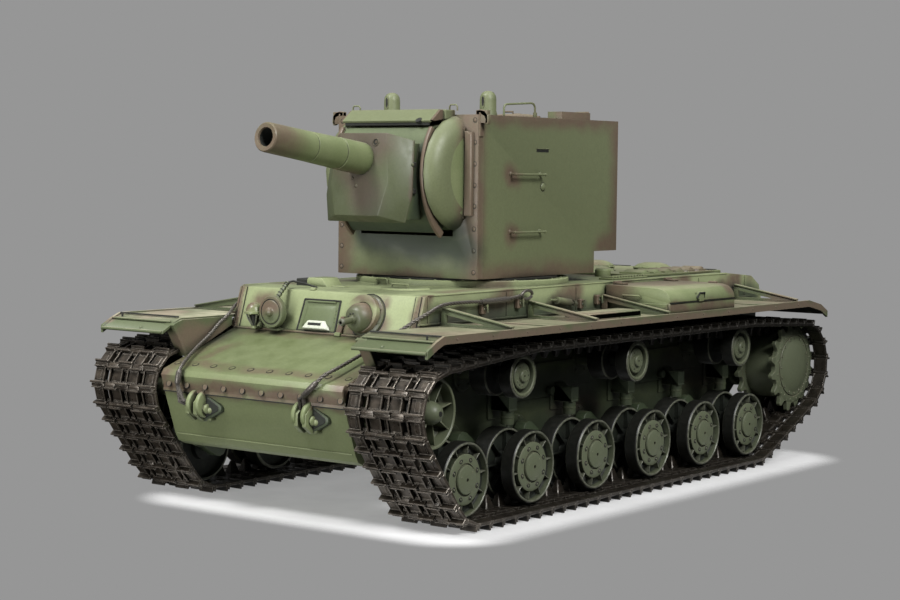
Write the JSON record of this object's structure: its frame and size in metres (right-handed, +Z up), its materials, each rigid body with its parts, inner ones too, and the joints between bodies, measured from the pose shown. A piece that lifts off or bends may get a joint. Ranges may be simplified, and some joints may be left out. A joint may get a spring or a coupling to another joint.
{
  "type": "remote-control model tank",
  "caption": "Remote-control model of a heavy tank with a tall box turret, elevating gun, sprung road wheels, metal tracks, fenders and tow cables.",
  "frame": {"origin": "middle of the ground contact area, on the ground", "axes": "+Z up, the nose points along -Y, +X is the tank's own left side"},
  "size_m": [0.2074, 0.3926, 0.2034],
  "materials": {
    "track_left": "dark weathered cast metal links",
    "drive_sprocket_left": "olive paint, worn teeth",
    "idler_left": "olive paint, worn rim",
    "road_wheel_left_1": "olive paint, worn steel rims",
    "swing_arm_left_1": "olive paint in shadow",
    "road_wheel_left_2": "olive paint, worn steel rims",
    "swing_arm_left_2": "olive paint in shadow",
    "road_wheel_left_3": "olive paint, worn steel rims",
    "swing_arm_left_3": "olive paint in shadow",
    "road_wheel_left_4": "olive paint, worn steel rims",
    "swing_arm_left_4": "olive paint in shadow",
    "road_wheel_left_5": "olive paint, worn steel rims",
    "swing_arm_left_5": "olive paint in shadow",
    "road_wheel_left_6": "olive paint, worn steel rims",
    "swing_arm_left_6": "olive paint in shadow",
    "return_roller_left_1": "olive paint, worn rim",
    "return_roller_left_2": "olive paint, worn rim",
    "return_roller_left_3": "olive paint, worn rim",
    "left_fender": "olive paint with soft brown sprayed edges",
    "gearbox_left": "plain grey moulding",
    "tow_cable_left": "twisted dark steel rope",
    "track_right": "dark weathered cast metal links",
    "drive_sprocket_right": "olive paint, worn teeth",
    "idler_right": "olive paint, worn rim",
    "road_wheel_right_1": "olive paint, worn steel rims",
    "swing_arm_right_1": "olive paint in shadow",
    "road_wheel_right_2": "olive paint, worn steel rims",
    "swing_arm_right_2": "olive paint in shadow",
    "road_wheel_right_3": "olive paint, worn steel rims",
    "swing_arm_right_3": "olive paint in shadow",
    "road_wheel_right_4": "olive paint, worn steel rims",
    "swing_arm_right_4": "olive paint in shadow",
    "road_wheel_right_5": "olive paint, worn steel rims",
    "swing_arm_right_5": "olive paint in shadow",
    "road_wheel_right_6": "olive paint, worn steel rims",
    "swing_arm_right_6": "olive paint in shadow",
    "return_roller_right_1": "olive paint, worn rim",
    "return_roller_right_2": "olive paint, worn rim",
    "return_roller_right_3": "olive paint, worn rim",
    "right_fender": "olive paint with soft brown sprayed edges",
    "gearbox_right": "plain grey moulding",
    "tow_cable_right": "twisted dark steel rope",
    "lower_hull": "olive paint with soft brown sprayed patches",
    "upper_hull": "olive paint with soft brown sprayed patches",
    "stowage_box_left": "olive paint with soft brown sprayed patches",
    "engine_deck": "olive paint with soft brown sprayed patches",
    "battery_hatch": "olive paint with soft brown sprayed patches",
    "driver_visor": "olive paint with soft brown sprayed patches",
    "headlight": "olive paint with soft brown sprayed patches",
    "horn": "olive paint with soft brown sprayed patches",
    "turret_shell": "olive paint with soft brown sprayed patches",
    "turret_hatch": "olive paint with soft brown sprayed patches",
    "mantlet": "olive paint with soft brown sprayed patches",
    "bow_gun": "olive paint",
    "gun_barrel": "olive paint over metal",
    "turret_ring": "black moulding",
    "battery_pack": "shrink-wrapped cells",
    "main_board": "circuit board",
    "speaker": "paper cone in a moulded ring",
    "turret_drive": "plain grey moulding"
  },
  "bodies": {
    "hull": {"lower_hull": "lower_hull", "upper_hull": "upper_hull", "left_fender": "left_fender", "right_fender": "right_fender", "track_left": "track_left", "track_right": "track_right", "stowage_box_left": "stowage_box_left", "engine_deck": "engine_deck", "headlight": "headlight", "horn": "horn", "tow_cable_left": "tow_cable_left", "tow_cable_right": "tow_cable_right", "battery_pack": "battery_pack", "main_board": "main_board", "speaker": "speaker", "gearbox_left": "gearbox_left", "gearbox_right": "gearbox_right", "turret_drive": "turret_drive"},
    "turret": {"turret_shell": "turret_shell", "turret_ring": "turret_ring"},
    "gun": {"mantlet": "mantlet", "gun_barrel": "gun_barrel"},
    "turret_lid": {"turret_hatch": "turret_hatch"},
    "battery_lid": {"battery_hatch": "battery_hatch"},
    "driver_flap": {"driver_visor": "driver_visor"},
    "bow_machine_gun": {"bow_gun": "bow_gun"},
    "sprocket_left": {"drive_sprocket_left": "drive_sprocket_left"},
    "idler_left": {"idler_left": "idler_left"},
    "roller_left_1": {"return_roller_left_1": "return_roller_left_1"},
    "roller_left_2": {"return_roller_left_2": "return_roller_left_2"},
    "roller_left_3": {"return_roller_left_3": "return_roller_left_3"},
    "arm_left_1": {"swing_arm_left_1": "swing_arm_left_1"},
    "wheel_left_1": {"road_wheel_left_1": "road_wheel_left_1"},
    "arm_left_2": {"swing_arm_left_2": "swing_arm_left_2"},
    "wheel_left_2": {"road_wheel_left_2": "road_wheel_left_2"},
    "arm_left_3": {"swing_arm_left_3": "swing_arm_left_3"},
    "wheel_left_3": {"road_wheel_left_3": "road_wheel_left_3"},
    "arm_left_4": {"swing_arm_left_4": "swing_arm_left_4"},
    "wheel_left_4": {"road_wheel_left_4": "road_wheel_left_4"},
    "arm_left_5": {"swing_arm_left_5": "swing_arm_left_5"},
    "wheel_left_5": {"road_wheel_left_5": "road_wheel_left_5"},
    "arm_left_6": {"swing_arm_left_6": "swing_arm_left_6"},
    "wheel_left_6": {"road_wheel_left_6": "road_wheel_left_6"},
    "sprocket_right": {"drive_sprocket_right": "drive_sprocket_right"},
    "idler_right": {"idler_right": "idler_right"},
    "roller_right_1": {"return_roller_right_1": "return_roller_right_1"},
    "roller_right_2": {"return_roller_right_2": "return_roller_right_2"},
    "roller_right_3": {"return_roller_right_3": "return_roller_right_3"},
    "arm_right_1": {"swing_arm_right_1": "swing_arm_right_1"},
    "wheel_right_1": {"road_wheel_right_1": "road_wheel_right_1"},
    "arm_right_2": {"swing_arm_right_2": "swing_arm_right_2"},
    "wheel_right_2": {"road_wheel_right_2": "road_wheel_right_2"},
    "arm_right_3": {"swing_arm_right_3": "swing_arm_right_3"},
    "wheel_right_3": {"road_wheel_right_3": "road_wheel_right_3"},
    "arm_right_4": {"swing_arm_right_4": "swing_arm_right_4"},
    "wheel_right_4": {"road_wheel_right_4": "road_wheel_right_4"},
    "arm_right_5": {"swing_arm_right_5": "swing_arm_right_5"},
    "wheel_right_5": {"road_wheel_right_5": "road_wheel_right_5"},
    "arm_right_6": {"swing_arm_right_6": "swing_arm_right_6"},
    "wheel_right_6": {"road_wheel_right_6": "road_wheel_right_6"}
  },
  "joints": [
    {"name": "turret_turn", "type": "hinge", "parent": "hull", "child": "turret", "pos_m": [0, -0.028, 0.109], "axis": [0, 0, 1], "range_deg": [-160, 160]},
    {"name": "gun_elevation", "type": "hinge", "parent": "turret", "child": "gun", "pos_m": [0, -0.06, 0.1612], "axis": [-1, 0, 0], "range_deg": [-11, 3]},
    {"name": "turret_hatch_hinge", "type": "hinge", "parent": "turret", "child": "turret_lid", "pos_m": [0.012, 0.017, 0.1918], "axis": [-1, 0, 0], "range_deg": [0, 100]},
    {"name": "battery_hatch_hinge", "type": "hinge", "parent": "hull", "child": "battery_lid", "pos_m": [0, 0.1114, 0.1074], "axis": [-1, 0, 0], "range_deg": [0, 95]},
    {"name": "driver_flap_hinge", "type": "hinge", "parent": "hull", "child": "driver_flap", "pos_m": [-0.0035, -0.1379, 0.0988], "axis": [-1, 0, 0], "range_deg": [0, 60]},
    {"name": "bow_gun_swivel", "type": "hinge", "parent": "hull", "child": "bow_machine_gun", "pos_m": [0.026, -0.143, 0.0934], "axis": [0, 0, 1], "range_deg": [-15, 15]},
    {"name": "sprocket_left_spin", "type": "hinge", "parent": "hull", "child": "sprocket_left", "pos_m": [0.08207, 0.1684, 0.0521], "axis": [1, 0, 0], "continuous": true},
    {"name": "idler_left_spin", "type": "hinge", "parent": "hull", "child": "idler_left", "pos_m": [0.08207, -0.1741, 0.05565], "axis": [1, 0, 0], "continuous": true},
    {"name": "roller_left_1_spin", "type": "hinge", "parent": "hull", "child": "roller_left_1", "pos_m": [0.08207, -0.105, 0.0669], "axis": [1, 0, 0], "continuous": true},
    {"name": "roller_left_2_spin", "type": "hinge", "parent": "hull", "child": "roller_left_2", "pos_m": [0.08207, -0.0037, 0.0669], "axis": [1, 0, 0], "continuous": true},
    {"name": "roller_left_3_spin", "type": "hinge", "parent": "hull", "child": "roller_left_3", "pos_m": [0.08207, 0.1048, 0.0669], "axis": [1, 0, 0], "continuous": true},
    {"name": "arm_left_1_swing", "type": "hinge", "parent": "hull", "child": "arm_left_1", "pos_m": [0.062, -0.1661, 0.034], "axis": [1, 0, 0], "range_deg": [0, 12], "stiffness_Nm_per_rad": 0.08, "springref_deg": -8.59},
    {"name": "wheel_left_1_spin", "type": "hinge", "parent": "arm_left_1", "child": "wheel_left_1", "pos_m": [0.08207, -0.1491, 0.023], "axis": [1, 0, 0], "continuous": true},
    {"name": "arm_left_2_swing", "type": "hinge", "parent": "hull", "child": "arm_left_2", "pos_m": [0.062, -0.1128, 0.034], "axis": [1, 0, 0], "range_deg": [0, 12], "stiffness_Nm_per_rad": 0.08, "springref_deg": -8.59},
    {"name": "wheel_left_2_spin", "type": "hinge", "parent": "arm_left_2", "child": "wheel_left_2", "pos_m": [0.08207, -0.0958, 0.023], "axis": [1, 0, 0], "continuous": true},
    {"name": "arm_left_3_swing", "type": "hinge", "parent": "hull", "child": "arm_left_3", "pos_m": [0.062, -0.0583, 0.034], "axis": [1, 0, 0], "range_deg": [0, 12], "stiffness_Nm_per_rad": 0.08, "springref_deg": -8.59},
    {"name": "wheel_left_3_spin", "type": "hinge", "parent": "arm_left_3", "child": "wheel_left_3", "pos_m": [0.08207, -0.0413, 0.023], "axis": [1, 0, 0], "continuous": true},
    {"name": "arm_left_4_swing", "type": "hinge", "parent": "hull", "child": "arm_left_4", "pos_m": [0.062, -0.0039, 0.034], "axis": [1, 0, 0], "range_deg": [0, 12], "stiffness_Nm_per_rad": 0.08, "springref_deg": -8.59},
    {"name": "wheel_left_4_spin", "type": "hinge", "parent": "arm_left_4", "child": "wheel_left_4", "pos_m": [0.08207, 0.0131, 0.023], "axis": [1, 0, 0], "continuous": true},
    {"name": "arm_left_5_swing", "type": "hinge", "parent": "hull", "child": "arm_left_5", "pos_m": [0.062, 0.048, 0.034], "axis": [1, 0, 0], "range_deg": [0, 12], "stiffness_Nm_per_rad": 0.08, "springref_deg": -8.59},
    {"name": "wheel_left_5_spin", "type": "hinge", "parent": "arm_left_5", "child": "wheel_left_5", "pos_m": [0.08207, 0.065, 0.023], "axis": [1, 0, 0], "continuous": true},
    {"name": "arm_left_6_swing", "type": "hinge", "parent": "hull", "child": "arm_left_6", "pos_m": [0.062, 0.0977, 0.034], "axis": [1, 0, 0], "range_deg": [0, 12], "stiffness_Nm_per_rad": 0.08, "springref_deg": -8.59},
    {"name": "wheel_left_6_spin", "type": "hinge", "parent": "arm_left_6", "child": "wheel_left_6", "pos_m": [0.08207, 0.1147, 0.023], "axis": [1, 0, 0], "continuous": true},
    {"name": "sprocket_right_spin", "type": "hinge", "parent": "hull", "child": "sprocket_right", "pos_m": [-0.08207, 0.1684, 0.0521], "axis": [1, 0, 0], "continuous": true},
    {"name": "idler_right_spin", "type": "hinge", "parent": "hull", "child": "idler_right", "pos_m": [-0.08207, -0.1741, 0.05565], "axis": [1, 0, 0], "continuous": true},
    {"name": "roller_right_1_spin", "type": "hinge", "parent": "hull", "child": "roller_right_1", "pos_m": [-0.08207, -0.105, 0.0669], "axis": [1, 0, 0], "continuous": true},
    {"name": "roller_right_2_spin", "type": "hinge", "parent": "hull", "child": "roller_right_2", "pos_m": [-0.08207, -0.0037, 0.0669], "axis": [1, 0, 0], "continuous": true},
    {"name": "roller_right_3_spin", "type": "hinge", "parent": "hull", "child": "roller_right_3", "pos_m": [-0.08207, 0.1048, 0.0669], "axis": [1, 0, 0], "continuous": true},
    {"name": "arm_right_1_swing", "type": "hinge", "parent": "hull", "child": "arm_right_1", "pos_m": [-0.062, -0.1661, 0.034], "axis": [1, 0, 0], "range_deg": [0, 12], "stiffness_Nm_per_rad": 0.08, "springref_deg": -8.59},
    {"name": "wheel_right_1_spin", "type": "hinge", "parent": "arm_right_1", "child": "wheel_right_1", "pos_m": [-0.08207, -0.1491, 0.023], "axis": [1, 0, 0], "continuous": true},
    {"name": "arm_right_2_swing", "type": "hinge", "parent": "hull", "child": "arm_right_2", "pos_m": [-0.062, -0.1128, 0.034], "axis": [1, 0, 0], "range_deg": [0, 12], "stiffness_Nm_per_rad": 0.08, "springref_deg": -8.59},
    {"name": "wheel_right_2_spin", "type": "hinge", "parent": "arm_right_2", "child": "wheel_right_2", "pos_m": [-0.08207, -0.0958, 0.023], "axis": [1, 0, 0], "continuous": true},
    {"name": "arm_right_3_swing", "type": "hinge", "parent": "hull", "child": "arm_right_3", "pos_m": [-0.062, -0.0583, 0.034], "axis": [1, 0, 0], "range_deg": [0, 12], "stiffness_Nm_per_rad": 0.08, "springref_deg": -8.59},
    {"name": "wheel_right_3_spin", "type": "hinge", "parent": "arm_right_3", "child": "wheel_right_3", "pos_m": [-0.08207, -0.0413, 0.023], "axis": [1, 0, 0], "continuous": true},
    {"name": "arm_right_4_swing", "type": "hinge", "parent": "hull", "child": "arm_right_4", "pos_m": [-0.062, -0.0039, 0.034], "axis": [1, 0, 0], "range_deg": [0, 12], "stiffness_Nm_per_rad": 0.08, "springref_deg": -8.59},
    {"name": "wheel_right_4_spin", "type": "hinge", "parent": "arm_right_4", "child": "wheel_right_4", "pos_m": [-0.08207, 0.0131, 0.023], "axis": [1, 0, 0], "continuous": true},
    {"name": "arm_right_5_swing", "type": "hinge", "parent": "hull", "child": "arm_right_5", "pos_m": [-0.062, 0.048, 0.034], "axis": [1, 0, 0], "range_deg": [0, 12], "stiffness_Nm_per_rad": 0.08, "springref_deg": -8.59},
    {"name": "wheel_right_5_spin", "type": "hinge", "parent": "arm_right_5", "child": "wheel_right_5", "pos_m": [-0.08207, 0.065, 0.023], "axis": [1, 0, 0], "continuous": true},
    {"name": "arm_right_6_swing", "type": "hinge", "parent": "hull", "child": "arm_right_6", "pos_m": [-0.062, 0.0977, 0.034], "axis": [1, 0, 0], "range_deg": [0, 12], "stiffness_Nm_per_rad": 0.08, "springref_deg": -8.59},
    {"name": "wheel_right_6_spin", "type": "hinge", "parent": "arm_right_6", "child": "wheel_right_6", "pos_m": [-0.08207, 0.1147, 0.023], "axis": [1, 0, 0], "continuous": true}
  ],
  "couplings": [
    {"joint": "idler_left_spin", "follows": "sprocket_left_spin", "ratio": 1.491},
    {"joint": "roller_left_1_spin", "follows": "sprocket_left_spin", "ratio": 2.312},
    {"joint": "roller_left_2_spin", "follows": "sprocket_left_spin", "ratio": 2.312},
    {"joint": "roller_left_3_spin", "follows": "sprocket_left_spin", "ratio": 2.312},
    {"joint": "wheel_left_1_spin", "follows": "sprocket_left_spin", "ratio": 1.424},
    {"joint": "wheel_left_2_spin", "follows": "sprocket_left_spin", "ratio": 1.424},
    {"joint": "wheel_left_3_spin", "follows": "sprocket_left_spin", "ratio": 1.424},
    {"joint": "wheel_left_4_spin", "follows": "sprocket_left_spin", "ratio": 1.424},
    {"joint": "wheel_left_5_spin", "follows": "sprocket_left_spin", "ratio": 1.424},
    {"joint": "wheel_left_6_spin", "follows": "sprocket_left_spin", "ratio": 1.424},
    {"joint": "idler_right_spin", "follows": "sprocket_right_spin", "ratio": 1.491},
    {"joint": "roller_right_1_spin", "follows": "sprocket_right_spin", "ratio": 2.312},
    {"joint": "roller_right_2_spin", "follows": "sprocket_right_spin", "ratio": 2.312},
    {"joint": "roller_right_3_spin", "follows": "sprocket_right_spin", "ratio": 2.312},
    {"joint": "wheel_right_1_spin", "follows": "sprocket_right_spin", "ratio": 1.424},
    {"joint": "wheel_right_2_spin", "follows": "sprocket_right_spin", "ratio": 1.424},
    {"joint": "wheel_right_3_spin", "follows": "sprocket_right_spin", "ratio": 1.424},
    {"joint": "wheel_right_4_spin", "follows": "sprocket_right_spin", "ratio": 1.424},
    {"joint": "wheel_right_5_spin", "follows": "sprocket_right_spin", "ratio": 1.424},
    {"joint": "wheel_right_6_spin", "follows": "sprocket_right_spin", "ratio": 1.424}
  ]
}
